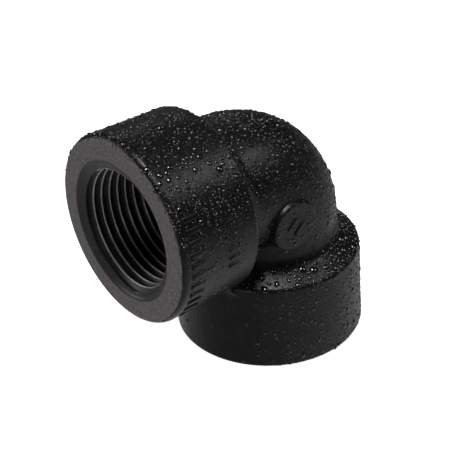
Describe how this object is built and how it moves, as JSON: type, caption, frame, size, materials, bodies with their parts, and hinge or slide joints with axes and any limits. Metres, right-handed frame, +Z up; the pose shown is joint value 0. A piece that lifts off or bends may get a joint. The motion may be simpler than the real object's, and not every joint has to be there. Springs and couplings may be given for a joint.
{
  "type": "pipe elbow",
  "caption": "Right-angle pipe elbow in black moulded plastic, with a round collar and a female taper pipe thread at each end and a curved waterway between them.",
  "frame": {"origin": "bottom centre of the bounding box: x is on the middle plane, z is the outlet face", "axes": "+Z is up, from the outlet face towards the inlet; the outlet looks along -Z, the inlet looks along -Y, and X is across the elbow"},
  "size_m": [0.0381, 0.0538, 0.0538],
  "materials": {
    "moulded_black": "satin black moulded polypropylene with a fine grain, matt and greyer on the end faces",
    "bore_black": "smooth, shiny black moulded polypropylene of the threads and the waterway",
    "water_drops": "clear beads of water on the outside"
  },
  "bodies": {
    "root": {"inlet_collar": "moulded_black", "outlet_collar": "moulded_black", "bend": "moulded_black", "cheek_pad_right": "moulded_black", "cheek_pad_left": "moulded_black", "inlet_thread": "bore_black", "outlet_thread": "bore_black", "collar_mark_1": "moulded_black", "collar_mark_2": "moulded_black", "collar_mark_3": "moulded_black", "collar_mark_4": "moulded_black", "collar_mark_5": "moulded_black", "collar_mark_6": "moulded_black", "collar_mark_7": "moulded_black", "collar_mark_8": "moulded_black", "collar_mark_9": "moulded_black", "collar_mark_10": "moulded_black", "collar_mark_11": "moulded_black", "short_mark_1": "moulded_black", "short_mark_2": "moulded_black", "short_mark_3": "moulded_black", "pad_mark_1": "moulded_black", "pad_mark_2": "moulded_black"}
  },
  "joints": []
}
